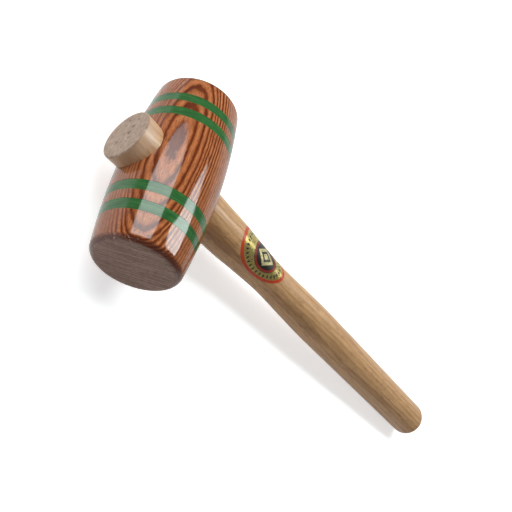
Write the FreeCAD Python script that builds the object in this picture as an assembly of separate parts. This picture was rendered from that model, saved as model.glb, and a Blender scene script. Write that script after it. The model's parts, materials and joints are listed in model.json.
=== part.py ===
import FreeCAD, Part
import math
import os

# Round turned mallet, in millimetres.
#
# Two frames are used. Each piece is drawn in the tool frame: the origin is the middle of the
# head, +X runs along the handle from the stub towards the grip, +Y runs along the head and +Z is
# up. The whole tool is then laid down on its side, so that the head and the end of the grip both
# touch the plane Z = 0. That lying pose, centred over the origin, is the row frame.

# Head: a barrel with rounded ends
HEAD_LENGTH = 128.0
HEAD_MIDDLE_DIAMETER = 64.0
HEAD_END_DIAMETER = 54.0
HEAD_EDGE_RADIUS = 5.0

# Green bands: two at each end, let in flush with the barrel
BAND_WIDTH = 6.8
BAND_DEPTH = 0.25
INNER_BAND_CENTRE = 29.2
OUTER_BAND_CENTRE = 42.0

# Eye and the tapered root of the handle that wedges in it
EYE_OFFSET = 1.7
TAPER_SMALL_RADIUS = 15.75
TAPER_LARGE_RADIUS = 17.2
TAPER_END = 60.0

# Handle, measured from the middle of the head
STUB_REACH = 40.2
STUB_EDGE_RADIUS = 1.2
GRIP_REACH = 354.0
GRIP_RADIUS = 14.75
GRIP_START = 182.0
GRIP_EDGE_RADIUS = 9.0
NECK_POINTS = ((83.0, 13.8), (111.0, 12.7), (147.0, 13.9))

# Oval foil label, wrapped round the neck on its upper side
LABEL_CENTRE = 86.2
LABEL_LENGTH = 53.0
LABEL_GIRTH = 33.4
LABEL_THICKNESS = 0.12
LABEL_NECK_RADIUS = 13.6
LABEL_OUTLINE_POINTS = 24

ALONG_HANDLE = FreeCAD.Vector(1, 0, 0)
ALONG_HEAD = FreeCAD.Vector(0, 1, 0)
UP = FreeCAD.Vector(0, 0, 1)
ORIGIN = FreeCAD.Vector(0, 0, 0)
HALF_HEAD = HEAD_LENGTH / 2
HEAD_RADIUS = HEAD_MIDDLE_DIAMETER / 2
HEAD_END_RADIUS = HEAD_END_DIAMETER / 2
FULL_TURN = 360.0


def taper_radius(reach):
    """Radius of the handle's root, a cone that narrows from the stub through the eye."""
    slope = (TAPER_LARGE_RADIUS - TAPER_SMALL_RADIUS) / HEAD_MIDDLE_DIAMETER
    return TAPER_LARGE_RADIUS - slope * (reach + HEAD_RADIUS)


def barrel(depth=0.0):
    """The head's turned body with square edges, or a core that lies depth under its surface."""
    left = FreeCAD.Vector(HEAD_END_RADIUS - depth, -HALF_HEAD, 0)
    middle = FreeCAD.Vector(HEAD_RADIUS - depth, 0, 0)
    right = FreeCAD.Vector(HEAD_END_RADIUS - depth, HALF_HEAD, 0)
    left_centre = FreeCAD.Vector(0, -HALF_HEAD, 0)
    right_centre = FreeCAD.Vector(0, HALF_HEAD, 0)
    side = Part.Arc(left, middle, right).toShape()
    outline = Part.Wire([
        Part.makeLine(left_centre, left),
        side,
        Part.makeLine(right, right_centre),
        Part.makeLine(right_centre, left_centre),
    ])
    return Part.Face(outline).revolve(ORIGIN, ALONG_HEAD, FULL_TURN)


def rounded_barrel():
    """The barrel with both end edges rounded over."""
    body = barrel()
    rims = [edge for edge in body.Edges if is_circle(edge, HEAD_END_RADIUS)]
    return body.makeFillet(HEAD_EDGE_RADIUS, rims)


def is_circle(edge, radius):
    """True for a whole circular edge of that radius."""
    round_edge = isinstance(edge.Curve, Part.Circle)
    return round_edge and abs(edge.Curve.Radius - radius) < 1e-6


def band(centre):
    """A thin ring of paint whose outer face follows the barrel."""
    start = FreeCAD.Vector(0, centre - BAND_WIDTH / 2, 0)
    slab = Part.makeCylinder(HEAD_MIDDLE_DIAMETER, BAND_WIDTH, start, ALONG_HEAD)
    return barrel().cut(barrel(BAND_DEPTH)).common(slab)


def eye():
    """The tapered hole through the head, which fits the handle's root all round."""
    reach = 1.5 * HEAD_RADIUS
    start = FreeCAD.Vector(-reach, EYE_OFFSET, 0)
    return Part.makeCone(taper_radius(-reach), taper_radius(reach), 2 * reach, start, ALONG_HANDLE)


def head(bands):
    """The barrel, less its eye and the shallow grooves that hold the bands."""
    body = rounded_barrel().cut(eye())
    for ring in bands:
        body = body.cut(ring)
    return body


def handle_body(growth=0.0):
    """The turned handle with square ends, grown outwards by growth."""
    stub = FreeCAD.Vector(-STUB_REACH, taper_radius(-STUB_REACH) + growth, 0)
    root = FreeCAD.Vector(TAPER_END, taper_radius(TAPER_END) + growth, 0)
    grip = FreeCAD.Vector(GRIP_START, GRIP_RADIUS + growth, 0)
    tip = FreeCAD.Vector(GRIP_REACH, GRIP_RADIUS + growth, 0)
    stub_centre = FreeCAD.Vector(-STUB_REACH, 0, 0)
    tip_centre = FreeCAD.Vector(GRIP_REACH, 0, 0)
    neck_points = [FreeCAD.Vector(reach, radius + growth, 0) for reach, radius in NECK_POINTS]
    neck = Part.BSplineCurve()
    neck.interpolate(Points=[root] + neck_points + [grip],
                     InitialTangent=root - stub, FinalTangent=tip - grip)
    outline = Part.Wire([
        Part.makeLine(stub_centre, stub),
        Part.makeLine(stub, root),
        neck.toShape(),
        Part.makeLine(grip, tip),
        Part.makeLine(tip, tip_centre),
        Part.makeLine(tip_centre, stub_centre),
    ])
    body = Part.Face(outline).revolve(ORIGIN, ALONG_HANDLE, FULL_TURN)
    body.translate(FreeCAD.Vector(0, EYE_OFFSET, 0))
    return body


def handle():
    """The handle with its stub edge broken and its grip end rounded."""
    body = handle_body()
    stub_rim = [edge for edge in body.Edges if is_circle(edge, taper_radius(-STUB_REACH))]
    body = body.makeFillet(STUB_EDGE_RADIUS, stub_rim)
    tip_rim = [edge for edge in body.Edges
               if is_circle(edge, GRIP_RADIUS) and edge.BoundBox.XMin > GRIP_REACH - 1]
    return body.makeFillet(GRIP_EDGE_RADIUS, tip_rim)


def label_outline():
    """Plan view of an oval that is wrapped round the neck, by its true length and girth."""
    points = []
    for step in range(LABEL_OUTLINE_POINTS):
        angle = 2 * math.pi * step / LABEL_OUTLINE_POINTS
        reach = LABEL_CENTRE + LABEL_LENGTH / 2 * math.cos(angle)
        wrap = LABEL_GIRTH / 2 * math.sin(angle) / LABEL_NECK_RADIUS
        points.append(FreeCAD.Vector(reach, EYE_OFFSET + LABEL_NECK_RADIUS * math.sin(wrap), 0))
    curve = Part.BSplineCurve()
    curve.interpolate(Points=points, PeriodicFlag=True)
    return Part.Face(Part.Wire([curve.toShape()]))


def handle_label(bare_handle):
    """A skin on the upper side of the neck, cut to the label's outline."""
    column = label_outline().extrude(UP * HEAD_MIDDLE_DIAMETER)
    return handle_body(LABEL_THICKNESS).common(column).cut(bare_handle)


def lying_tilt():
    """Angle that brings the grip's end down to the surface that the head lies on."""
    reach = GRIP_REACH - GRIP_EDGE_RADIUS
    drop = HEAD_RADIUS - GRIP_EDGE_RADIUS
    flat_radius = GRIP_RADIUS - GRIP_EDGE_RADIUS
    return math.asin(drop / math.hypot(reach, flat_radius)) - math.atan2(flat_radius, reach)


def centring_shift(tilt):
    """Distance along X that puts the middle of the lying tool over the origin."""
    tip = (GRIP_REACH - GRIP_EDGE_RADIUS) * math.cos(tilt) + GRIP_EDGE_RADIUS
    tip += (GRIP_RADIUS - GRIP_EDGE_RADIUS) * math.sin(tilt)
    stub = (STUB_REACH - STUB_EDGE_RADIUS) * math.cos(tilt) + STUB_EDGE_RADIUS
    stub += (taper_radius(-STUB_REACH) - STUB_EDGE_RADIUS) * math.sin(tilt)
    return (stub - tip) / 2


def lay_down(shape):
    """Moves a piece from the tool frame to the row frame."""
    tilt = lying_tilt()
    place = FreeCAD.Vector(centring_shift(tilt), 0, HEAD_RADIUS)
    turn = FreeCAD.Rotation(ALONG_HEAD, math.degrees(tilt))
    return shape.transformed(FreeCAD.Placement(place, turn).toMatrix())


def build():
    """All the pieces by node name, in the row frame."""
    bands = {
        "front_outer_band": band(-OUTER_BAND_CENTRE),
        "front_inner_band": band(-INNER_BAND_CENTRE),
        "back_inner_band": band(INNER_BAND_CENTRE),
        "back_outer_band": band(OUTER_BAND_CENTRE),
    }
    bare_handle = handle()
    pieces = {"head": head(bands.values()), "handle": bare_handle}
    pieces["handle_label"] = handle_label(bare_handle)
    pieces.update(bands)
    return {node: lay_down(shape) for node, shape in pieces.items()}


os.makedirs("parts", exist_ok=True)
for name, solid in build().items():
    solid.exportStep("parts/" + name + ".step")
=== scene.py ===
import json
import math

import bmesh
import bpy
import numpy as np
from mathutils import Matrix, Vector


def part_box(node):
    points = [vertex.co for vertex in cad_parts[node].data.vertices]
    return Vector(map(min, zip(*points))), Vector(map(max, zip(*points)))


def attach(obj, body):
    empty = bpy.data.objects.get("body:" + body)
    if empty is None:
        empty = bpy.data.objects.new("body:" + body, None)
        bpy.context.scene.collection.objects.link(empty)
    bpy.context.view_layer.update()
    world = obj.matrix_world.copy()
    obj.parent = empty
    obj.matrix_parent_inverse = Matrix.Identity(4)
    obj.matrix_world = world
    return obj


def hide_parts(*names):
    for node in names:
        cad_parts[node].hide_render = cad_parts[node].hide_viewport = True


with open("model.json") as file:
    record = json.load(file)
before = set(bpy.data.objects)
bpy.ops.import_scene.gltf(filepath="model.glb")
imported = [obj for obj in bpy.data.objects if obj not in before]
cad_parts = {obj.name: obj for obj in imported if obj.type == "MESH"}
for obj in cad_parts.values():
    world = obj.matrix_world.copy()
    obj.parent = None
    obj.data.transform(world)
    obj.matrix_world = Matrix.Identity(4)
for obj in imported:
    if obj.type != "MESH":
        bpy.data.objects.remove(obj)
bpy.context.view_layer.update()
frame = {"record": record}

# ---------------------------------------------------------------- places and sizes
# Everything is in metres and in the row frame. The frame gives the head's and the handle's
# places; the other sizes are those of the CAD model.

MM = 0.001
MOUNTS = {mount["name"]: mount for mount in frame["record"]["mounts"]}

head_low, head_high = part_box("head")
HEAD_CENTRE = (head_low + head_high) / 2
HEAD_HALF = (head_high.y - head_low.y) / 2
HEAD_RADIUS = (head_high.z - head_low.z) / 2
HEAD_END_RADIUS = 27 * MM
HEAD_EDGE = 5 * MM
BARREL_DROP = HEAD_RADIUS - HEAD_END_RADIUS
# Radius of the arc that the barrel's side follows from end to end
BARREL_BOW = (HEAD_HALF ** 2 + BARREL_DROP ** 2) / (2 * BARREL_DROP)

HANDLE_AXIS = Vector(MOUNTS["grip"]["axis"]).normalized()
GRIP_RADIUS = MOUNTS["grip"]["dims"]["r_mm"] * MM
GRIP_LENGTH = MOUNTS["grip"]["dims"]["length_mm"] * MM
STUB_END = Vector(MOUNTS["stub_face"]["pos_m"])
GRIP_MIDDLE = Vector(MOUNTS["grip"]["pos_m"])
FORWARD = Vector((1, 0, 0))
ACROSS = Vector((0, 1, 0))
UP = Vector((0, 0, 1))
HANDLE_UP = HANDLE_AXIS.cross(ACROSS)
# The handle's own zero is where its axis passes the middle of the head's width.
HANDLE_ZERO = STUB_END + HANDLE_AXIS * (HEAD_CENTRE - STUB_END).dot(HANDLE_AXIS)
STUB_REACH = (HANDLE_ZERO - STUB_END).length
GRIP_START = (GRIP_MIDDLE - HANDLE_ZERO).length - GRIP_LENGTH / 2
GRIP_EDGE = 9 * MM
GRIP_REACH = GRIP_START + GRIP_LENGTH + GRIP_EDGE
STUB_EDGE = 1.2 * MM
TAPER_LARGE_RADIUS = 17.2 * MM
TAPER_SMALL_RADIUS = 15.75 * MM
TAPER_END = 60 * MM
# Points on the waist: distance from the handle's zero, then radius
NECK_POINTS = ((83 * MM, 13.8 * MM), (111 * MM, 12.7 * MM), (147 * MM, 13.9 * MM))

BAND_NODES = ("front_outer_band", "front_inner_band", "back_inner_band", "back_outer_band")
# Each band lies in a groove, a little below its rims and clear of its sides
PAINT_EDGE = 0.06 * MM
PAINT_INSET = 0.02 * MM
GROOVE_DEPTH = 0.2 * MM

LABEL_CENTRE = 86.2 * MM
LABEL_HALF_LENGTH = 26.4 * MM
LABEL_HALF_GIRTH = 16.6 * MM


# ---------------------------------------------------------------- shapes

# A profile point nearer the axis than this lies on it
ON_AXIS = 1e-9


def barrel_radius(along):
    """Radius of the head's barrel side, an arc, at a distance from its middle."""
    return HEAD_RADIUS - BARREL_BOW + math.sqrt(BARREL_BOW ** 2 - along ** 2)


def taper_radius(reach):
    """Radius of the handle's root, a cone through the eye."""
    slope = (TAPER_LARGE_RADIUS - TAPER_SMALL_RADIUS) / (2 * HEAD_RADIUS)
    return TAPER_LARGE_RADIUS - slope * (reach + HEAD_RADIUS)


def neck_radius(reach):
    """Radius of the waist between root and grip: smooth cubic pieces through the neck points."""
    points = ((TAPER_END, taper_radius(TAPER_END)),) + NECK_POINTS + ((GRIP_START, GRIP_RADIUS),)
    slopes = [taper_radius(1) - taper_radius(0)]
    for before, after in zip(points, points[2:]):
        slopes.append((after[1] - before[1]) / (after[0] - before[0]))
    slopes.append(0.0)
    for index in range(len(points) - 1):
        start, end = points[index], points[index + 1]
        if reach <= end[0]:
            break
    width = end[0] - start[0]
    x = (reach - start[0]) / width
    rise = (2 * x ** 3 - 3 * x ** 2 + 1) * start[1] + (3 * x ** 2 - 2 * x ** 3) * end[1]
    bend = (x ** 3 - 2 * x ** 2 + x) * slopes[index] + (x ** 3 - x ** 2) * slopes[index + 1]
    return rise + bend * width


def handle_radius(reach):
    """Radius of the handle's side, without its rounded ends."""
    if reach < TAPER_END:
        return taper_radius(reach)
    if reach < GRIP_START:
        return neck_radius(reach)
    return GRIP_RADIUS


def arc(centre, radius, start, end, steps):
    """Points (along, radius) on an arc, by angles in degrees."""
    angles = [math.radians(start + (end - start) * step / steps) for step in range(steps + 1)]
    return [(centre[0] + radius * math.cos(a), centre[1] + radius * math.sin(a)) for a in angles]


def spread(start, end, count):
    """Evenly spaced values from start to end."""
    return [start + (end - start) * step / count for step in range(count + 1)]


def new_piece(name, vertices, faces, replaces=()):
    """A smooth mesh object that rides on the mallet's one body."""
    mesh = bpy.data.meshes.new(name)
    mesh.from_pydata([tuple(v) for v in vertices], [], faces)
    mesh.validate()
    mesh.polygons.foreach_set("use_smooth", [True] * len(mesh.polygons))
    piece = bpy.data.objects.new(name, mesh)
    bpy.context.scene.collection.objects.link(piece)
    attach(piece, "root")
    if replaces:
        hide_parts(*replaces)
    return piece


def lathe(profile, segments, origin, axis, side):
    """Vertices and faces of a turned solid. A profile point on the axis closes an end."""
    other = axis.cross(side)
    turns = np.arange(segments) * 2 * math.pi / segments
    ring = np.outer(np.cos(turns), side) + np.outer(np.sin(turns), other)
    vertices, faces, rows = [], [], []
    for along, radius in profile:
        middle = np.array(origin + axis * along)
        first = len(vertices)
        if radius < ON_AXIS:
            vertices.append(middle)
            rows.append([first] * segments)
        else:
            vertices.extend(middle + ring * radius)
            rows.append(list(range(first, first + segments)))
    for low, high in zip(rows, rows[1:]):
        for here in range(segments):
            after = (here + 1) % segments
            corners = [low[here], low[after], high[after], high[here]]
            faces.append(list(dict.fromkeys(corners)))
    return vertices, faces


# ---------------------------------------------------------------- materials

def fill_ramp(elements, stops):
    """Sets the stops (position, (r, g, b)) of a colour ramp, which starts with its two ends."""
    ends_first = [stops[0], stops[-1]] + stops[1:-1]
    for index, (position, colour) in enumerate(ends_first):
        element = elements[index] if index < 2 else elements.new(position)
        element.position = position
        element.color = tuple(colour) + (1.0,)


class Shader:
    """A node material, with short calls for the nodes that the wood, paint and foil share."""

    def __init__(self, name):
        self.material = bpy.data.materials.new(name)
        self.material.use_nodes = True
        self.nodes = self.material.node_tree.nodes
        self.links = self.material.node_tree.links
        self.surface = self.nodes["Principled BSDF"]

    def feed(self, socket, value):
        """Connects a socket, or sets it to a number or to numbers."""
        if isinstance(value, bpy.types.NodeSocket):
            self.links.new(value, socket)
        elif hasattr(value, "__len__"):
            missing = len(socket.default_value) - len(value)
            socket.default_value = tuple(value) + (1.0,) * missing
        else:
            socket.default_value = value

    def math(self, operation, *values):
        """One step of arithmetic on numbers."""
        node = self.nodes.new("ShaderNodeMath")
        node.operation = operation
        for socket, value in zip(node.inputs, values):
            self.feed(socket, value)
        return node.outputs[0]

    def vector(self, operation, first, second):
        """Vector arithmetic: a number from a dot product or a distance, otherwise a vector."""
        node = self.nodes.new("ShaderNodeVectorMath")
        node.operation = operation
        self.feed(node.inputs[0], first)
        self.feed(node.inputs[1], second)
        measures = operation in ("DOT_PRODUCT", "DISTANCE")
        return node.outputs["Value"] if measures else node.outputs["Vector"]

    def frame(self, origin, x_axis, y_axis, z_axis):
        """Object coordinates in millimetres about an origin, along three axes."""
        place = self.nodes.new("ShaderNodeTexCoord").outputs["Object"]
        place = self.vector("SUBTRACT", place, origin)
        place = self.vector("MULTIPLY", place, (1 / MM,) * 3)
        along = [self.vector("DOT_PRODUCT", place, axis) for axis in (x_axis, y_axis, z_axis)]
        join = self.nodes.new("ShaderNodeCombineXYZ")
        for socket, value in zip(join.inputs, along):
            self.feed(socket, value)
        return join.outputs[0], along

    def noise(self, place, size, detail=2.0, roughness=0.5, shift=0.0):
        """Noise from 0 to 1, with features of about size = (x, y, z) millimetres."""
        place = self.vector("ADD", place, (shift, shift, shift))
        node = self.nodes.new("ShaderNodeTexNoise")
        self.feed(node.inputs["Vector"], self.vector("DIVIDE", place, size))
        node.inputs["Scale"].default_value = 1.0
        node.inputs["Detail"].default_value = detail
        node.inputs["Roughness"].default_value = roughness
        return node.outputs["Fac"]

    def ramp(self, value, stops):
        """Colour from a list of (position, (r, g, b)), in the order of the positions."""
        node = self.nodes.new("ShaderNodeValToRGB")
        fill_ramp(node.color_ramp.elements, stops)
        self.feed(node.inputs[0], value)
        return node.outputs["Color"]

    def rescale(self, value, low, high, new_low, new_high):
        """Maps low..high onto new_low..new_high, and holds the ends."""
        node = self.nodes.new("ShaderNodeMapRange")
        node.clamp = True
        for socket, entry in zip(node.inputs, (value, low, high, new_low, new_high)):
            self.feed(socket, entry)
        return node.outputs[0]

    def mix(self, amount, first, second, blend="MIX"):
        """The first colour, changed towards the second by an amount from 0 to 1."""
        node = self.nodes.new("ShaderNodeMix")
        node.data_type = "RGBA"
        node.blend_type = blend
        self.feed(node.inputs["Factor"], amount)
        self.feed(node.inputs[6], first)
        self.feed(node.inputs[7], second)
        return node.outputs[2]

    def shade(self, colour, factor):
        """The colour made darker or lighter by a factor."""
        return self.mix(1.0, colour, factor, "MULTIPLY")

    def bump(self, height, depth, normal=None):
        """Relief of depth metres from a height of 0 to 1."""
        node = self.nodes.new("ShaderNodeBump")
        node.inputs["Strength"].default_value = 1.0
        node.inputs["Distance"].default_value = depth
        self.feed(node.inputs["Height"], height)
        if normal is not None:
            self.feed(node.inputs["Normal"], normal)
        return node.outputs[0]

    def finish(self, colour, roughness, normal=None, metallic=0.0, gloss=0.5):
        """Connects the surface and returns the material."""
        self.feed(self.surface.inputs["Base Color"], colour)
        self.feed(self.surface.inputs["Roughness"], roughness)
        self.feed(self.surface.inputs["Metallic"], metallic)
        self.feed(self.surface.inputs["Specular IOR Level"], gloss)
        if normal is not None:
            self.feed(self.surface.inputs["Normal"], normal)
        return self.material


def tint(red, green, blue):
    """A linear colour from everyday 0 to 255 values."""
    values = [channel / 255 for channel in (red, green, blue)]
    return tuple(v / 12.92 if v <= 0.04045 else ((v + 0.055) / 1.055) ** 2.4 for v in values)


# Materials measure in millimetres, and so do the values for them.
# Depth under the barrel's surface of the first dark growth lines
GROWTH_LINES = (0.06, 1.15, 2.85, 4.6, 5.85, 6.75, 8.4, 9.9, 11.45, 13.3)
# Depth at which the count of lines starts, and how far apart the deeper lines are
GROWTH_START = -2.0
GROWTH_SPACING = 2.1
# The lines lie square to this direction, an angle from straight up towards the stub
GROWTH_ANGLE = math.radians(41.1)
# The layers lean along the head, and bow across it by side * side / GROWTH_BOW
GROWTH_TILT = 0.0134
GROWTH_BOW = 700.0


def growth_phase(shader, depth):
    """Counts the dark growth lines passed at a depth."""
    first, last = GROWTH_START, GROWTH_LINES[-1]
    count = len(GROWTH_LINES)
    node = shader.nodes.new("ShaderNodeFloatCurve")
    curve = node.mapping.curves[0]
    for depth_here, number in zip(GROWTH_LINES[:-1], range(1, count)):
        curve.points.new((depth_here - first) / (last - first), number / count)
    for point in curve.points:
        point.handle_type = "VECTOR"
    node.mapping.update()
    shader.feed(node.inputs["Value"], shader.rescale(depth, first, last, 0.0, 1.0))
    shallow = shader.math("MULTIPLY", node.outputs[0], float(count))
    deeper = shader.math("MAXIMUM", shader.math("SUBTRACT", depth, last), 0.0)
    return shader.math("ADD", shallow, shader.math("DIVIDE", deeper, GROWTH_SPACING))


def growth_depth(shader, place, side, along, out):
    """How deep a place lies in the nearly flat layers, which bow, lean and waver a little."""
    bow = shader.math("DIVIDE", shader.math("MULTIPLY", side, side), GROWTH_BOW)
    lean = shader.math("MULTIPLY", along, -GROWTH_TILT)
    wander = shader.rescale(shader.noise(place, (30, 60, 30), 1.0), 0, 1, -0.55, 0.55)
    ripple = shader.rescale(shader.noise(place, (3.5, 9, 3.5), 3.0, 0.6), 0, 1, -0.38, 0.38)
    depth = shader.math("SUBTRACT", HEAD_RADIUS / MM, out)
    for part in (bow, lean, wander, ripple):
        depth = shader.math("ADD", depth, part)
    return depth


def growth_colour(shader, side, depth):
    """Dark lines in paler wood: fine, broad deeper in towards the grip, and faint deepest in; on the
    down-turned side a painted floor reflection pales them.
    """
    phase = shader.math("FRACT", growth_phase(shader, depth))
    pale, middle, dark = tint(198, 122, 76), tint(172, 96, 50), tint(98, 38, 13)
    fine_line = [
        (0.0, dark), (0.07, dark), (0.18, middle), (0.42, pale), (0.7, middle), (0.87, dark),
        (1.0, dark),
    ]
    deep_pale = tint(212, 140, 90)
    broad_line = [
        (0.0, dark), (0.12, dark), (0.22, middle), (0.45, deep_pale), (0.7, middle), (0.82, dark),
        (1.0, dark),
    ]
    broad = shader.rescale(depth, 5.5, 8.0, 0.0, 1.0)
    broad = shader.math("MULTIPLY", broad, shader.rescale(side, -4.0, 4.0, 0.0, 1.0))
    colour = shader.mix(broad, shader.ramp(phase, fine_line), shader.ramp(phase, broad_line))
    deepest = shader.rescale(depth, 11.0, 14.0, 0.0, 0.6)
    colour = shader.mix(deepest, colour, tint(172, 104, 62))
    # On the side that is turned down, under the stub, the lines fade into a paler, greyer tone: a
    # painted reflection of the white floor
    floor_reflection_wash = shader.rescale(side, -19.0, -13.0, 0.5, 0.0)
    return shader.mix(floor_reflection_wash, colour, tint(158, 104, 72))


def rim_shade_and_glints(shader, place, reach, colour):
    """Painted shade: the wood is darkened where the rims are rounded, standing in for the dark room
    that they reflect, with small pale specks there that are painted glints.
    """
    rim_shade = shader.rescale(reach, HEAD_HALF / MM - 4.4, HEAD_HALF / MM - 2.2, 0.0, 0.82)
    colour = shader.mix(rim_shade, colour, tint(80, 34, 22))
    rim_glints = shader.noise(place, (1.8, 0.8, 0.9), 1.0, shift=91)
    glint_patches = shader.rescale(shader.noise(place, (14, 14, 14), 1.0, shift=17), 0.5, 0.6, 0.0, 0.8)
    rim_glints = shader.math("MULTIPLY", shader.rescale(rim_glints, 0.6, 0.7, 0.0, 1.0), glint_patches)
    rim_glints = shader.math("MULTIPLY", rim_glints, rim_shade)
    return shader.mix(rim_glints, colour, tint(196, 160, 142))


def end_grain(shader, place):
    """Colour of the two ends, cut across the grain: greyer, with fine streaks and pale scuffs."""
    streak = shader.noise(place, (16, 16, 0.9), 2.0, 0.6, shift=21)
    fleck = shader.noise(place, (2.6, 2.6, 0.8), 3.0, 0.7, shift=77)
    dark, middle, pale = tint(114, 88, 79), tint(148, 121, 111), tint(184, 157, 147)
    stops = [(0.36, dark), (0.5, middle), (0.64, pale)]
    colour = shader.ramp(shader.mix(0.5, streak, fleck), stops)
    scuffs = shader.noise(place, (1.6, 1.0, 0.5), 2.0, 0.7, shift=44)
    scuffed = shader.rescale(shader.noise(place, (14, 14, 14), 1.0, shift=9), 0.45, 0.6, 0.0, 0.7)
    scuffs = shader.math("MULTIPLY", shader.rescale(scuffs, 0.62, 0.7, 0.0, 1.0), scuffed)
    return shader.mix(scuffs, colour, tint(218, 190, 176))


def head_wood():
    """Flat-sawn orange-brown wood under gloss lacquer, with dull cut ends."""
    shader = Shader("head_lacquered_wood")
    outward = Vector((-math.sin(GROWTH_ANGLE), 0, math.cos(GROWTH_ANGLE)))
    sideways = Vector((math.cos(GROWTH_ANGLE), 0, math.sin(GROWTH_ANGLE)))
    place, (side, along, out) = shader.frame(HEAD_CENTRE, sideways, ACROSS, outward)

    colour = growth_colour(shader, side, growth_depth(shader, place, side, along, out))
    patch = shader.noise(place, (9, 40, 9), 2.0, shift=31)
    colour = shader.mix(shader.rescale(patch, 0.35, 0.7, 0.0, 0.4), colour, tint(140, 70, 34))
    fibre = shader.noise(place, (0.6, 6, 0.6), 3.0, 0.65, shift=57)
    colour = shader.shade(colour, shader.rescale(fibre, 0.3, 0.7, 0.68, 1.3))
    pores = shader.noise(place, (0.5, 2.6, 0.5), 1.0, shift=83)
    colour = shader.mix(shader.rescale(pores, 0.6, 0.72, 0.0, 0.75), colour, tint(76, 28, 12))

    reach = shader.math("ABSOLUTE", along)
    # Painted shade on the rounded rims, with painted glints
    colour = rim_shade_and_glints(shader, place, reach, colour)
    on_end = shader.rescale(reach, HEAD_HALF / MM - 1.0, HEAD_HALF / MM - 0.1, 0.0, 1.0)
    colour = shader.mix(on_end, colour, end_grain(shader, place))

    skin = shader.noise(place, (2.2, 3.0, 2.2), 2.0, 0.5, shift=11)
    relief = shader.bump(fibre, 0.003 * MM)
    relief = shader.bump(skin, 0.02 * MM, relief)
    roughness = shader.rescale(fibre, 0.3, 0.7, 0.05, 0.09)
    roughness = shader.rescale(on_end, 0.0, 1.0, roughness, 0.5)
    gloss = shader.rescale(on_end, 0.0, 1.0, 0.5, 0.2)
    return shader.finish(colour, roughness, relief, gloss=gloss)


def band_paint():
    """Gloss green paint, with the faint round lines that a brush leaves on a turning head."""
    shader = Shader("green_band_paint")
    place, _ = shader.frame(HEAD_CENTRE, FORWARD, ACROSS, UP)
    strokes = shader.noise(place, (14, 0.35, 14), 3.0, 0.6)
    stops = [(0.3, tint(26, 74, 32)), (0.5, tint(46, 103, 48)), (0.72, tint(78, 134, 76))]
    colour = shader.ramp(strokes, stops)
    blotch = shader.noise(place, (5, 3, 5), 2.0, shift=19)
    colour = shader.mix(shader.rescale(blotch, 0.4, 0.75, 0.0, 0.35), colour, tint(26, 72, 36))
    skin = shader.noise(place, (2.2, 3.0, 2.2), 2.0, 0.5, shift=11)
    relief = shader.bump(strokes, 0.003 * MM)
    relief = shader.bump(skin, 0.018 * MM, relief)
    return shader.finish(colour, shader.rescale(blotch, 0.3, 0.7, 0.05, 0.11), relief)


HANDLE_GROWTH_SPACING = 3.4
# Brown streaks along the handle's near side, partly wood and partly painted shade where that side
# turns from the light
# and runs out from under the head: middle and half size, each along the handle, across and up, then
# how strong
STREAKS_AND_SHADE = (
    ((44, -13.5, 8), (34, 5, 6), 0.5), ((150, -12, 6.5), (42, 3, 5), 0.3),
    ((262, -13, 7), (40, 3, 3), 0.15),
)
# Open pores on the stub's cut face: across, up and width, then how dark
STUB_PORES = (
    (0.3, 2.6, 2.8, 1.0), (4.9, 4.1, 2.5, 1.0), (11.6, -1.8, 2.4, 0.9), (-5.1, -5.1, 2.3, 0.8),
    (-4.1, 4.1, 2.0, 0.6), (10.0, 6.4, 2.0, 0.6), (-10.8, 1.3, 1.8, 0.5), (1.3, 8.7, 1.8, 0.5),
    (7.7, -2.6, 1.8, 0.5),
)


def handle_grain(shader, place, across, up):
    """Faint growth lines of straight-grained wood, which slant through the handle."""
    slant = shader.math("MULTIPLY", across, 0.8)
    layer = shader.math("ADD", slant, shader.math("MULTIPLY", up, 0.6))
    wander = shader.rescale(shader.noise(place, (150, 16, 16), 2.0), 0, 1, -5.0, 5.0)
    ripple = shader.rescale(shader.noise(place, (30, 3, 3), 2.0, shift=7), 0, 1, -0.6, 0.6)
    layer = shader.math("ADD", shader.math("ADD", layer, wander), ripple)
    phase = shader.math("FRACT", shader.math("DIVIDE", layer, HANDLE_GROWTH_SPACING))
    pale, middle, dark = tint(208, 166, 121), tint(201, 155, 109), tint(187, 138, 90)
    stops = [(0.0, middle), (0.3, pale), (0.72, middle), (0.92, dark), (1.0, middle)]
    return shader.ramp(phase, stops)


def brown_streaks_and_shade(shader, place, colour):
    """Adds the brown streaks, partly wood and partly painted shade, with ragged edges."""
    ragged = shader.rescale(shader.noise(place, (12, 1.6, 1.6), 3.0, 0.6, shift=52), 0, 1, -0.7, 0.7)
    for middle, size, strength in STREAKS_AND_SHADE:
        from_middle = shader.vector("DIVIDE", shader.vector("SUBTRACT", place, middle), size)
        gap = shader.vector("DISTANCE", from_middle, (0.0, 0.0, 0.0))
        streak = shader.rescale(shader.math("ADD", gap, ragged), 0.7, 1.1, strength, 0.0)
        colour = shader.mix(streak, colour, tint(132, 84, 46))
    return colour


def stub_face(shader, place, across, up):
    """Colour of the stub's cut face, which shows the ends of the pores."""
    flat = shader.nodes.new("ShaderNodeCombineXYZ")
    shader.feed(flat.inputs[0], across)
    shader.feed(flat.inputs[1], up)
    uneven = shader.rescale(shader.noise(place, (0.7, 0.7, 0.7), 1.0, shift=13), 0, 1, -0.4, 0.4)
    dots = 0.0
    for across_here, up_here, width, darkness in STUB_PORES:
        gap = shader.vector("DISTANCE", flat.outputs[0], (across_here, up_here, 0.0))
        gap = shader.math("ADD", gap, uneven)
        dot = shader.rescale(gap, 0.2 * width, 0.65 * width, darkness, 0.0)
        dots = shader.math("MAXIMUM", dots, dot)
    cloud = shader.noise(flat.outputs[0], (3, 3, 3), 3.0, 0.65, shift=3)
    colour = shader.ramp(cloud, [(0.32, tint(138, 111, 92)), (0.68, tint(186, 158, 137))])
    return shader.mix(dots, colour, tint(74, 50, 38))


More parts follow.
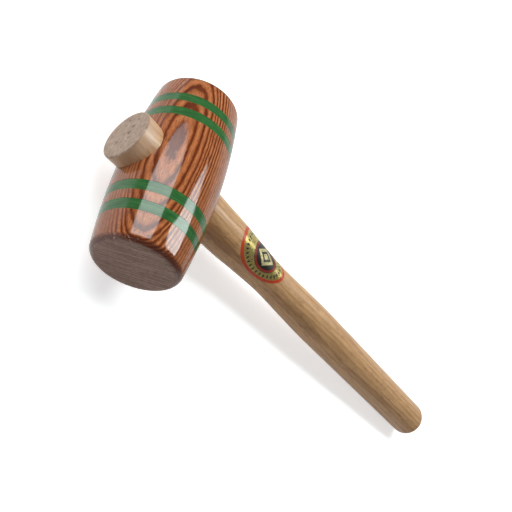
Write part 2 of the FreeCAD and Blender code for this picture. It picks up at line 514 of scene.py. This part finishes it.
def handle_wood():
    """Pale straight-grained wood under a thin satin varnish."""
    shader = Shader("handle_varnished_wood")
    place, (along, across, up) = shader.frame(HANDLE_ZERO, HANDLE_AXIS, ACROSS, HANDLE_UP)
    colour = handle_grain(shader, place, across, up)
    fibre = shader.noise(place, (16, 0.9, 0.9), 3.0, 0.65, shift=41)
    colour = shader.shade(colour, shader.rescale(fibre, 0.3, 0.7, 0.8, 1.2))
    patch = shader.noise(place, (60, 8, 8), 2.0, shift=65)
    colour = shader.mix(shader.rescale(patch, 0.5, 0.7, 0.0, 0.25), colour, tint(166, 114, 66))
    pores = shader.noise(place, (5.0, 0.55, 0.55), 1.0, shift=29)
    colour = shader.mix(shader.rescale(pores, 0.6, 0.72, 0.0, 0.6), colour, tint(104, 66, 38))
    # Brown streaks, partly painted shade, along the handle's shaded lower side
    colour = brown_streaks_and_shade(shader, place, colour)

    # The stub is paler than the rest, and its face is cut across the grain
    on_stub = shader.rescale(along, -34.0, -28.0, 0.5, 0.0)
    colour = shader.mix(on_stub, colour, tint(212, 183, 160))
    face_place = -STUB_REACH / MM
    on_face = shader.rescale(along, face_place + 0.5, face_place + 1.1, 1.0, 0.0)
    colour = shader.mix(on_face, colour, stub_face(shader, place, across, up))

    relief = shader.bump(fibre, 0.012 * MM)
    relief = shader.bump(pores, 0.015 * MM, relief)
    roughness = shader.rescale(fibre, 0.3, 0.7, 0.28, 0.37)
    return shader.finish(colour, roughness, relief, gloss=0.38)


# Share of red, green and blue that worn ink or foil keeps
WORN = (0.78, 0.76, 0.72)


def printed(name, colour, roughness, metallic=0.0, waves=0.02 * MM):
    """A flat colour of ink or foil, with slight mottling and the small waves of a thin sticker."""
    shader = Shader(name)
    place, _ = shader.frame(HANDLE_ZERO, HANDLE_AXIS, ACROSS, HANDLE_UP)
    mottle = shader.noise(place, (1.5, 1.5, 1.5), 3.0, 0.6)
    worn = shader.mix(1.0, colour, WORN, "MULTIPLY")
    tone = shader.mix(shader.rescale(mottle, 0.3, 0.7, 0.0, 1.0), colour, worn)
    relief = shader.bump(shader.noise(place, (3, 3, 3), 2.0, shift=5), waves)
    rough = shader.rescale(mottle, 0.3, 0.7, roughness - 0.04, roughness + 0.06)
    return shader.finish(tone, rough, relief, metallic)


# ---------------------------------------------------------------- the head and its bands

HEAD_SEGMENTS = 360
SIDE_STEP = 0.56 * MM
END_RINGS = 14
ROUNDING_RINGS = 18
HEAD_SHARP_ANGLE = math.radians(40)
BAND_SHARP_ANGLE = math.radians(30)
# The eye is cut by a cone that runs well past the barrel, with room for the handle
EYE_GAP = 0.05 * MM
EYE_SEGMENTS = 256
CUTTER_REACH = 1.4 * HEAD_RADIUS
LIP_WIDTH = 1.4 * MM
LIP_DEPTH = 0.18 * MM


def rounded_end():
    """Profile of one end of the head, from its middle out to the barrel's side."""
    centre_along = -(HEAD_HALF - HEAD_EDGE)
    rise = math.sqrt((BARREL_BOW - HEAD_EDGE) ** 2 - centre_along ** 2)
    centre_radius = HEAD_RADIUS - BARREL_BOW + rise
    leave = math.degrees(math.atan2(rise, centre_along))
    flat = [(-HEAD_HALF, radius) for radius in spread(0, centre_radius, END_RINGS)]
    rounding = arc((centre_along, centre_radius), HEAD_EDGE, 180, leave, ROUNDING_RINGS)
    return flat + rounding[1:]


def band_spans():
    """Where each band starts and ends along the head, front to back."""
    spans = []
    for node in BAND_NODES:
        low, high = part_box(node)
        spans.append((low.y, high.y))
    return spans


def side_profile(start, end, sink=0.0):
    """Points on the barrel's side between two places, sunk by a little."""
    count = max(2, round((end - start) / SIDE_STEP))
    return [(along, barrel_radius(along) - sink) for along in spread(start, end, count)]


def head_profile():
    """The whole head from front to back, with a shallow square groove for each band."""
    front = rounded_end()
    profile = list(front)
    place = front[-1][0]
    for start, end in band_spans():
        profile += side_profile(place, start)[1:]
        profile += side_profile(start, end, GROOVE_DEPTH)
        profile.append((end, barrel_radius(end)))
        place = end
    back = [(-along, radius) for along, radius in reversed(front)]
    profile += side_profile(place, back[0][0])[1:]
    return profile + back[1:]


def soften_eye(vertices):
    """Sinks the head's surface a little round the eye, so that its edge looks eased."""
    points = np.array(vertices)
    from_zero = points - np.array(HANDLE_ZERO)
    reach = from_zero @ np.array(HANDLE_AXIS)
    off_axis = np.linalg.norm(from_zero - np.outer(reach, HANDLE_AXIS), axis=1)
    eye = np.array([taper_radius(value) for value in reach])
    closeness = np.clip(1 - np.abs(off_axis - eye) / LIP_WIDTH, 0, 1) ** 2
    inward = np.array(HEAD_CENTRE) - points
    inward[:, 1] = 0
    inward /= np.maximum(np.linalg.norm(inward, axis=1), ON_AXIS)[:, None]
    return points + inward * (closeness * LIP_DEPTH)[:, None]


def cut_eye(head):
    """Cuts the tapered eye through the head."""
    start, end = -CUTTER_REACH, CUTTER_REACH
    profile = [(start, 0), (start, taper_radius(start) + EYE_GAP)]
    profile += [(end, taper_radius(end) + EYE_GAP), (end, 0)]
    mesh = bpy.data.meshes.new("eye_cutter")
    vertices, faces = lathe(profile, EYE_SEGMENTS, HANDLE_ZERO, HANDLE_AXIS, ACROSS)
    mesh.from_pydata([tuple(v) for v in vertices], [], faces)
    cutter = bpy.data.objects.new("eye_cutter", mesh)
    bpy.context.scene.collection.objects.link(cutter)
    cut = head.modifiers.new("eye", "BOOLEAN")
    cut.operation = "DIFFERENCE"
    cut.solver = "EXACT"
    cut.object = cutter
    bpy.context.view_layer.update()
    evaluated = head.evaluated_get(bpy.context.evaluated_depsgraph_get())
    result = bpy.data.meshes.new_from_object(evaluated)
    head.modifiers.clear()
    old = head.data
    head.data = result
    bpy.data.meshes.remove(old)
    bpy.data.objects.remove(cutter)


def make_head(material):
    """The barrel, with its grooves and its eye."""
    vertices, faces = lathe(head_profile(), HEAD_SEGMENTS, HEAD_CENTRE, ACROSS, UP)
    head = new_piece("mallet_head", soften_eye(vertices), faces, ("head",))
    cut_eye(head)
    head.data.set_sharp_from_angle(angle=HEAD_SHARP_ANGLE)
    head.data.materials.clear()
    head.data.materials.append(material)
    return head


def make_band(node, span, material):
    """One painted band: a thin ring with eased edges that lies in its groove."""
    start, end = span[0] + PAINT_EDGE, span[1] - PAINT_EDGE
    profile = [(start, barrel_radius(start) - GROOVE_DEPTH)]
    profile.append((start, barrel_radius(start) - PAINT_INSET - PAINT_EDGE))
    profile += side_profile(start + PAINT_EDGE, end - PAINT_EDGE, PAINT_INSET)
    profile.append((end, barrel_radius(end) - PAINT_INSET - PAINT_EDGE))
    profile.append((end, barrel_radius(end) - GROOVE_DEPTH))
    profile.append(profile[0])
    vertices, faces = lathe(profile, HEAD_SEGMENTS, HEAD_CENTRE, ACROSS, UP)
    # The last ring lies on the first, so the faces are closed onto that
    last_ring = len(vertices) - HEAD_SEGMENTS
    faces = [[v - last_ring if v >= last_ring else v for v in face] for face in faces]
    band = new_piece("painted_" + node, vertices[:last_ring], faces, (node,))
    band.data.set_sharp_from_angle(angle=BAND_SHARP_ANGLE)
    band.data.materials.append(material)
    return band


# ---------------------------------------------------------------- the handle

HANDLE_SEGMENTS = 144
HANDLE_RINGS = 300
STUB_FACE_RINGS = 12
STUB_EDGE_RINGS = 8
GRIP_EDGE_RINGS = 24
GRIP_FACE_RINGS = 5


def make_handle(material):
    """The handle in one piece, from the stub's cut face to the rounded grip end."""
    flat_radius = taper_radius(-STUB_REACH) - STUB_EDGE
    profile = [(-STUB_REACH, radius) for radius in spread(0, flat_radius, STUB_FACE_RINGS)]
    stub_corner = (-STUB_REACH + STUB_EDGE, flat_radius)
    profile += arc(stub_corner, STUB_EDGE, 180, 90, STUB_EDGE_RINGS)[1:]
    straight = spread(-STUB_REACH + STUB_EDGE, GRIP_REACH - GRIP_EDGE, HANDLE_RINGS)
    profile += [(reach, handle_radius(reach)) for reach in straight[1:]]
    grip_corner = (GRIP_REACH - GRIP_EDGE, GRIP_RADIUS - GRIP_EDGE)
    profile += arc(grip_corner, GRIP_EDGE, 90, 0, GRIP_EDGE_RINGS)[1:]
    closing = spread(grip_corner[1], 0, GRIP_FACE_RINGS)[1:]
    profile += [(GRIP_REACH, radius) for radius in closing]
    vertices, faces = lathe(profile, HANDLE_SEGMENTS, HANDLE_ZERO, HANDLE_AXIS, ACROSS)
    handle = new_piece("turned_handle", vertices, faces, ("handle",))
    handle.data.materials.append(material)
    return handle


# ---------------------------------------------------------------- the label

FOIL = 0.05 * MM
INK = 0.015 * MM
OVAL_POINTS = 120
SHEET_STEPS = 10
LABEL_SHARP_ANGLE = math.radians(50)
# Width of the red border at the oval's ends and at its sides
BORDER_WIDTHS = (2.8 * MM, 2.3 * MM)
# Share of the oval that the border's outer edge reaches
BORDER_REACH = 0.998
MEDALLION_CENTRE = 1.8 * MM
# Half length and half girth of the medallion, its ring, the largest lozenge and, further down,
# of each mark and of the row that the marks stand in
MEDALLION = (13.2 * MM, 10.4 * MM)
RING_OUTER = (12.7 * MM, 9.9 * MM)
RING_INNER = (11.3 * MM, 8.6 * MM)
LOZENGE = (9.6 * MM, 7.2 * MM)
MARKS = 32
MARK = (0.75 * MM, 1.7 * MM)
MARK_OVAL = (19.6 * MM, 12.9 * MM)


def on_neck(along, girth, height):
    """A point on the handle's neck, from the label's centre: along it, round it and above it."""
    reach = LABEL_CENTRE + along
    turn = girth / neck_radius(LABEL_CENTRE)
    outward = HANDLE_UP * math.cos(turn) + ACROSS * math.sin(turn)
    return HANDLE_ZERO + HANDLE_AXIS * reach + outward * (neck_radius(reach) + height)


def oval(half_length, half_girth, centre=0.0):
    """Points (along, girth) on an oval."""
    turns = [2 * math.pi * step / OVAL_POINTS for step in range(OVAL_POINTS)]
    return [(centre + half_length * math.cos(a), half_girth * math.sin(a)) for a in turns]


def shrunk(outline, amount):
    """The same number of points, on the outline shrunk towards the label's centre."""
    return [(x * amount, y * amount) for x, y in outline]


def print_layer(name, outer, inner, base, top, material, replaces=()):
    """A thin closed sheet on the neck between two outlines of equal point count."""
    vertices, faces, rows = [], [], []
    count = len(outer)
    steps_out = range(SHEET_STEPS + 1)
    for height, steps in ((base, reversed(steps_out)), (top, steps_out)):
        for step in steps:
            row = []
            part = step / SHEET_STEPS
            for (ax, ay), (bx, by) in zip(inner, outer):
                row.append(len(vertices))
                vertices.append(on_neck(ax + (bx - ax) * part, ay + (by - ay) * part, height))
            rows.append(row)
    for low, high in zip(rows, rows[1:] + rows[:1]):
        for here in range(count):
            after = (here + 1) % count
            faces.append([low[here], low[after], high[after], high[here]])
    piece = new_piece(name, vertices, faces, replaces)
    tidy_mesh(piece)
    piece.data.set_sharp_from_angle(angle=LABEL_SHARP_ANGLE)
    piece.data.materials.append(material)
    return piece


def tidy_mesh(piece):
    """Joins points that lie on each other and turns every face outward."""
    mesh = bmesh.new()
    mesh.from_mesh(piece.data)
    bmesh.ops.remove_doubles(mesh, verts=mesh.verts, dist=0.001 * MM)
    bmesh.ops.recalc_face_normals(mesh, faces=mesh.faces)
    mesh.to_mesh(piece.data)
    mesh.free()


def lozenge(along, girth, half_length, half_girth, turn, per_side=6):
    """Points of a lozenge about a place on the label."""
    corners = [(half_length, 0), (0, half_girth), (-half_length, 0), (0, -half_girth)]
    points = []
    for (ax, ay), (bx, by) in zip(corners, corners[1:] + corners[:1]):
        for step in range(per_side):
            part = step / per_side
            x, y = ax + (bx - ax) * part, ay + (by - ay) * part
            turned_x = x * math.cos(turn) - y * math.sin(turn)
            turned_y = x * math.sin(turn) + y * math.cos(turn)
            points.append((along + turned_x, girth + turned_y))
    return points


def make_marks(ink):
    """A row of plain marks round the label, each turned to lie along the row."""
    for number in range(MARKS):
        turn = 2 * math.pi * (number + 0.5) / MARKS
        along, girth = MARK_OVAL[0] * math.cos(turn), MARK_OVAL[1] * math.sin(turn)
        heading = math.atan2(MARK_OVAL[1] * math.cos(turn), -MARK_OVAL[0] * math.sin(turn))
        outline = lozenge(along, girth, MARK[0], MARK[1], heading, 2)
        hub = [(along, girth)] * len(outline)
        print_layer(f"label_mark_{number + 1:02d}", outline, hub, 0.5 * FOIL, FOIL + INK, ink)


def make_medallion(black, ring_red, pale):
    """A dark oval with a ring near its edge and three lozenges, one on another."""
    edge = oval(*MEDALLION, centre=MEDALLION_CENTRE)
    middle = [(MEDALLION_CENTRE, 0.0)] * len(edge)
    print_layer("label_medallion", edge, middle, 0.5 * FOIL, FOIL + INK, black)
    outer = oval(*RING_OUTER, centre=MEDALLION_CENTRE)
    inner = oval(*RING_INNER, centre=MEDALLION_CENTRE)
    print_layer("label_medallion_ring", outer, inner, FOIL, FOIL + 2 * INK, ring_red)
    lozenges = ((1.0, pale, 2), (0.62, black, 3), (0.34, pale, 4))
    for number, (size, ink, level) in enumerate(lozenges):
        outline = lozenge(MEDALLION_CENTRE, 0, LOZENGE[0] * size, LOZENGE[1] * size, 0)
        hub = [(MEDALLION_CENTRE, 0.0)] * len(outline)
        print_layer(f"label_lozenge_{number + 1}", outline, hub, FOIL, FOIL + level * INK, ink)


def make_label():
    """An oval gold foil sticker with a red border, a dark medallion and a row of plain marks."""
    gold = printed("gold_foil", tint(216, 197, 124), 0.28, metallic=0.85, waves=0.035 * MM)
    red = printed("red_ink", tint(210, 72, 36), 0.28)
    dark_red = printed("dark_red_ink", tint(166, 52, 38), 0.28)
    black = printed("black_ink", tint(30, 24, 12), 0.32)
    pale = printed("pale_gold_ink", tint(226, 214, 158), 0.28, metallic=0.6)
    edge = oval(LABEL_HALF_LENGTH, LABEL_HALF_GIRTH)
    border = oval(LABEL_HALF_LENGTH - BORDER_WIDTHS[0], LABEL_HALF_GIRTH - BORDER_WIDTHS[1])
    middle = [(0.0, 0.0)] * len(edge)
    print_layer("label_foil_oval", edge, middle, 0.0, FOIL, gold, ("handle_label",))
    outer = shrunk(edge, BORDER_REACH)
    print_layer("label_red_border", outer, border, 0.5 * FOIL, FOIL + INK, red)
    make_medallion(black, dark_red, pale)
    make_marks(black)


# ---------------------------------------------------------------- stage, light and camera

PANEL_DISTANCE = 1.2
# The lights' outlines and fades are in shares of the panel distance, and the fades end here
LIGHT_REACH = 1.2
COOL_WHITE = (0.92, 0.985, 1.0)
# Each light stands over the head at an angle from +X up towards +Z
BROAD_ANGLE = math.radians(134)
BROAD_RADIANCE = 6.2
BRIGHT_ANGLE = math.radians(59)
BRIGHT_RADIANCE = 10.2
# Outlines of the two soft lights, as seen from the head: along it, and round it. The lights
# stand over the head's far half, so that their reflections run out along its side.
BROAD_LIGHT = (
    (0.145, -0.42), (0.14, 0.46), (0.62, 0.48), (0.84, 0.42), (1.00, 0.24),
    (1.06, 0.04), (1.00, -0.16), (0.84, -0.36), (0.62, -0.45),
)
BRIGHT_LIGHT = (
    (0.21, -0.20), (0.29, -0.27), (0.43, -0.27), (0.54, -0.15), (0.66, -0.12), (0.80, -0.06),
    (0.78, -0.02), (0.66, 0.13), (0.50, 0.26), (0.40, 0.30), (0.35, 0.50), (0.28, 0.42),
    (0.21, 0.2),
)
# Both grow dimmer away from the head's front: how far along, and the share of full strength
BROAD_FADE = ((0.45, 1.0), (0.6, 0.9), (0.85, 0.6), (1.05, 0.35))
BRIGHT_FADE = ((0.3, 1.0), (0.42, 0.95), (0.58, 0.68), (0.70, 0.5), (0.80, 0.35))


def rounded(outline, rounds=3):
    """The closed outline with its corners cut, again and again, until it is smooth."""
    for _ in range(rounds):
        cut = []
        for (ax, ay), (bx, by) in zip(outline, outline[1:] + outline[:1]):
            cut.append((0.8 * ax + 0.2 * bx, 0.8 * ay + 0.2 * by))
            cut.append((0.2 * ax + 0.8 * bx, 0.2 * ay + 0.8 * by))
        outline = cut
    return outline


def light_panel(name, angle, outline, fade, radiance):
    """A soft light over the head, which the camera doesn't see."""
    out = Vector((math.cos(angle), 0, math.sin(angle)))
    sideways = Vector((-math.sin(angle), 0, math.cos(angle)))
    centre = HEAD_CENTRE + out * PANEL_DISTANCE
    points = []
    for u, v in rounded(list(outline)):
        points.append(centre + (ACROSS * u + sideways * v) * PANEL_DISTANCE)
    panel = stage_mesh(name, points, glowing(name, fade, radiance))
    panel.visible_camera = False


def glowing(name, fade, radiance):
    """Cool white light that fades along the head."""
    glow = Shader(name)
    _, (_, along, _) = glow.frame(HEAD_CENTRE, FORWARD, ACROSS, UP)
    along = glow.math("DIVIDE", along, LIGHT_REACH * PANEL_DISTANCE / MM)
    stops = [(place / LIGHT_REACH, [share * part for part in COOL_WHITE]) for place, share in fade]
    emission = glow.nodes.new("ShaderNodeEmission")
    glow.feed(emission.inputs["Color"], glow.ramp(along, stops))
    glow.feed(emission.inputs["Strength"], radiance)
    glow.feed(glow.nodes["Material Output"].inputs["Surface"], emission.outputs[0])
    glow.nodes.remove(glow.surface)
    return glow.material


def stage_mesh(name, points, material, faces=None):
    """A sheet that belongs to the studio and not to the mallet, one flat face if none are given."""
    mesh = bpy.data.meshes.new(name)
    mesh.from_pydata([tuple(point) for point in points], [], faces or [list(range(len(points)))])
    mesh.materials.append(material)
    made = bpy.data.objects.new(name, mesh)
    bpy.context.scene.collection.objects.link(made)
    return made


# Where the glow of fading paper starts to drop and where it is least, in millimetres from the
# head's middle towards its far end
FADE_START = 10.0
FADE_END = 110.0


def paper(name, albedo, glow, warmth=0.0, far_glow=None):
    """Matt paper that also glows, by another amount far along the head if that is given.

    Warmth adds red and takes away blue.
    """
    sheet = Shader(name)
    if far_glow is not None:
        _, (_, along, _) = sheet.frame(HEAD_CENTRE, FORWARD, ACROSS, UP)
        glow = sheet.rescale(along, FADE_START, FADE_END, glow, far_glow)
    sheet.feed(sheet.surface.inputs["Emission Color"], (1.0, 1.0, 1.0))
    sheet.feed(sheet.surface.inputs["Emission Strength"], glow)
    return sheet.finish((albedo + warmth, albedo, albedo - warmth), 0.9, gloss=0.0)


PAPER_REACH = 6.0
SHEEN_LEVEL = -0.3 * MM
BOUNCE_LEVEL = -0.6 * MM
# The lacquer shows where the white paper ends, half a metre to the left of the head
PAPER_LEFT = 0.5
BACKDROP_ANGLE = math.radians(38)
BACKDROP_DISTANCE = 1.5
BACKDROP_GLOW = 0.75
# The backdrop's outline: sideways, then height
BACKDROP = [
    (-0.9, 0.0), (-0.9, 0.3), (-0.25, 0.3), (-0.12, 0.52), (0.35, 0.6), (1.0, 0.6), (1.0, 0.0),
]


def paper_sheet(name, left, right, height, material):
    """A flat sheet between two places along X."""
    front, back = -PAPER_REACH, PAPER_REACH
    corners = [(left, front), (right, front), (right, back), (left, back)]
    return stage_mesh(name, [(x, y, height) for x, y in corners], material)


def make_floor():
    """White paper, in flat sheets that lie close under the mallet.

    The camera sees the first, the next two, left and right of the head, show in the lacquer, and
    the last throws light back up.
    """
    shown = paper_sheet("floor", -PAPER_REACH, PAPER_REACH, 0.0, paper("white_paper", 0.8, 0.62))
    shown.visible_diffuse = False
    shown.visible_glossy = False
    shown.visible_shadow = False
    left_end, middle = HEAD_CENTRE.x - PAPER_LEFT, HEAD_CENTRE.x
    left_paper = paper("left_paper", 0.55, 0.68, far_glow=0.2)
    right_paper = paper("right_paper", 0.4, 0.38)
    sheens = [paper_sheet("floor_sheen_left", left_end, middle, SHEEN_LEVEL, left_paper)]
    sheens.append(paper_sheet("floor_sheen_right", middle, PAPER_REACH, SHEEN_LEVEL, right_paper))
    for sheen in sheens:
        sheen.visible_camera = False
        sheen.visible_diffuse = False
        sheen.visible_shadow = False
    grey = paper("grey_paper", 0.66, 0.0, warmth=0.08)
    under = paper_sheet("floor_bounce", -PAPER_REACH, PAPER_REACH, BOUNCE_LEVEL, grey)
    under.visible_camera = False
    under.visible_glossy = False


def make_backdrop():
    """A white sheet that stands away past the grip, where the lacquer reflects it."""
    away = Vector((math.cos(BACKDROP_ANGLE), math.sin(BACKDROP_ANGLE), 0))
    sideways = Vector((-away.y, away.x, 0))
    foot = away * BACKDROP_DISTANCE
    points = [foot + sideways * x + Vector((0, 0, z)) for x, z in rounded(BACKDROP)]
    sheet = stage_mesh("backdrop", points, paper("backdrop_paper", 0.0, BACKDROP_GLOW))
    sheet.visible_camera = False


FILL_DISTANCE = 1.6
FILL_HALF_WIDTH = 1.0
FILL_BOTTOM = 0.05
FILL_TOP = 0.85
FILL_GLOW = 0.5


def make_fill():
    """A dim white sheet that stands before the mallet and only softens its shaded sides."""
    left, right = -FILL_HALF_WIDTH, FILL_HALF_WIDTH
    corners = [(left, FILL_BOTTOM), (right, FILL_BOTTOM), (right, FILL_TOP), (left, FILL_TOP)]
    points = [(x, -FILL_DISTANCE, z) for x, z in corners]
    sheet = stage_mesh("fill_sheet", points, paper("fill_paper", 0.0, FILL_GLOW))
    sheet.visible_camera = False
    sheet.visible_glossy = False


WALL_DISTANCE = 5.8
WALL_HEIGHT = 4.5
WALL_GLOW = 0.8
WALL_SEGMENTS = 64


def make_wall():
    """A pale round wall far away, which only the camera sees, above the edge of the floor."""
    profile = [(0.0, WALL_DISTANCE), (WALL_HEIGHT, WALL_DISTANCE)]
    points, faces = lathe(profile, WALL_SEGMENTS, Vector((0, 0, 0)), UP, FORWARD)
    wall = stage_mesh("wall", points, paper("wall_paper", 0.0, WALL_GLOW), faces)
    wall.visible_diffuse = False
    wall.visible_glossy = False
    wall.visible_shadow = False


# How bright the room is, by height from the level of the mallet to overhead
ROOM_LIGHT = ((0.0, 0.3), (0.35, 0.2), (1.0, 0.12))


def make_world():
    """A room that is pale near the floor and dim overhead."""
    world = bpy.data.worlds.new("studio")
    world.use_nodes = True
    nodes, links = world.node_tree.nodes, world.node_tree.links
    place = nodes.new("ShaderNodeTexCoord")
    split = nodes.new("ShaderNodeSeparateXYZ")
    ramp = nodes.new("ShaderNodeValToRGB")
    fill_ramp(ramp.color_ramp.elements, [(height, (level,) * 3) for height, level in ROOM_LIGHT])
    links.new(place.outputs["Generated"], split.inputs[0])
    links.new(split.outputs["Z"], ramp.inputs[0])
    links.new(ramp.outputs[0], nodes["Background"].inputs["Color"])
    bpy.context.scene.world = world


# The point on the floor that the camera looks at, and the direction in which it looks: the
# azimuth turns it from +Y towards +X, and the elevation is how far it looks down
CAMERA_AIM = Vector((HEAD_CENTRE.x + 118.6 * MM, 32 * MM, 0))
CAMERA_AZIMUTH = math.radians(47.645)
CAMERA_ELEVATION = math.radians(37.654)
CAMERA_ROLL = math.radians(77.15)
CAMERA_DISTANCE = 0.5242
CAMERA_LENS = 48.45


def make_camera():
    """A camera at the photograph's viewing angle, rolled about its line of sight."""
    forward = Vector((
        math.sin(CAMERA_AZIMUTH) * math.cos(CAMERA_ELEVATION),
        math.cos(CAMERA_AZIMUTH) * math.cos(CAMERA_ELEVATION),
        -math.sin(CAMERA_ELEVATION),
    ))
    data = bpy.data.cameras.new("camera")
    data.lens = CAMERA_LENS
    camera = bpy.data.objects.new("camera", data)
    bpy.context.scene.collection.objects.link(camera)
    turn = forward.to_track_quat("-Z", "Y").to_matrix().to_4x4()
    place = Matrix.Translation(CAMERA_AIM - forward * CAMERA_DISTANCE)
    camera.matrix_world = place @ turn @ Matrix.Rotation(CAMERA_ROLL, 4, "Z")
    bpy.context.scene.camera = camera


# ---------------------------------------------------------------- the mallet

make_head(head_wood())
green = band_paint()
for band_node, band_span in zip(BAND_NODES, band_spans()):
    make_band(band_node, band_span, green)
make_handle(handle_wood())
make_label()

make_floor()
make_backdrop()
make_fill()
make_wall()
make_world()
light_panel("broad_light", BROAD_ANGLE, BROAD_LIGHT, BROAD_FADE, BROAD_RADIANCE)
light_panel("bright_light", BRIGHT_ANGLE, BRIGHT_LIGHT, BRIGHT_FADE, BRIGHT_RADIANCE)
make_camera()
bpy.context.scene.view_settings.view_transform = "Standard"
